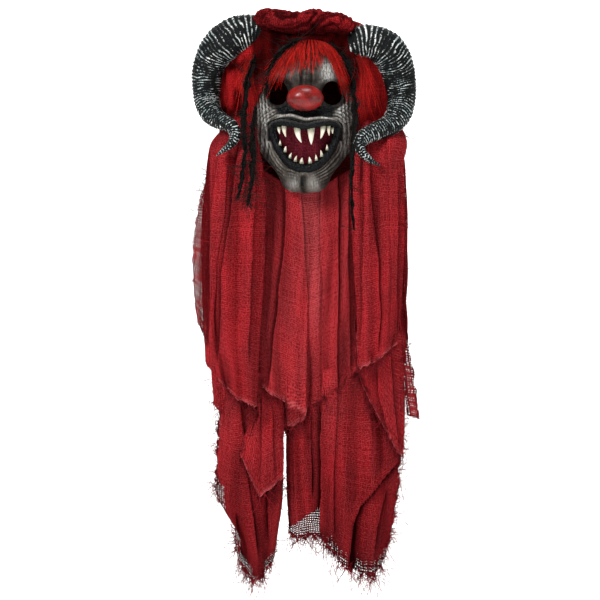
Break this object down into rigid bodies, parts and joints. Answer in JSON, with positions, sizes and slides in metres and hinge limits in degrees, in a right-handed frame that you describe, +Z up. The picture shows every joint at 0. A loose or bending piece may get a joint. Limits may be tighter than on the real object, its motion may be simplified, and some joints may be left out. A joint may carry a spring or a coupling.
{
  "type": "horned demon mask with a gauze hood and shroud",
  "caption": "Latex demon clown mask with ram horns, open toothed mouth, ball nose, torn hair and a hood of red gauze that falls into a long ragged shroud.",
  "frame": {"origin": "where the crown of the wearer's head meets the inside of the latex shell", "axes": "+Z up, the face looks along -Y, +X to the right of someone who faces the mask"},
  "size_m": [0.3926, 0.2625, 0.9804],
  "materials": {
    "latex_face": "satin moulded latex, dry-brushed grey over black",
    "nose_red": "gloss painted latex",
    "tooth_ivory": "satin painted ivory",
    "horn_black": "matte black latex, silver dry-brushed ribs",
    "hair_red": "torn red gauze strips",
    "gauze_black": "ragged black gauze",
    "gauze_red": "open woven red gauze"
  },
  "bodies": {
    "root": {"face_shell": "latex_face", "mouth_lining": "gauze_red", "nose_ball": "nose_red", "upper_tooth_1": "tooth_ivory", "upper_tooth_2": "tooth_ivory", "upper_tooth_3": "tooth_ivory", "upper_tooth_4": "tooth_ivory", "upper_tooth_5": "tooth_ivory", "upper_tooth_6": "tooth_ivory", "upper_tooth_7": "tooth_ivory", "lower_tooth_1": "tooth_ivory", "lower_tooth_2": "tooth_ivory", "lower_tooth_3": "tooth_ivory", "lower_tooth_4": "tooth_ivory", "lower_tooth_5": "tooth_ivory", "lower_tooth_6": "tooth_ivory", "lower_tooth_7": "tooth_ivory", "lower_tooth_8": "tooth_ivory", "lower_tooth_9": "tooth_ivory", "horn_left": "horn_black", "horn_right": "horn_black", "hood": "gauze_red", "brow_roll": "gauze_red", "shroud": "gauze_red", "drape_centre": "gauze_red", "drape_left": "gauze_red", "drape_right": "gauze_red", "tier_left": "gauze_red", "tier_right": "gauze_red", "tail_left": "gauze_red", "tail_right": "gauze_red", "strip_left": "gauze_red", "strip_right": "gauze_red", "hair_fringe": "hair_red", "hair_side_left": "hair_red", "hair_side_right": "hair_red", "black_lock_left_inner": "gauze_black", "black_lock_left_outer": "gauze_black", "black_lock_left_front": "gauze_black", "black_lock_right": "gauze_black"}
  },
  "joints": []
}
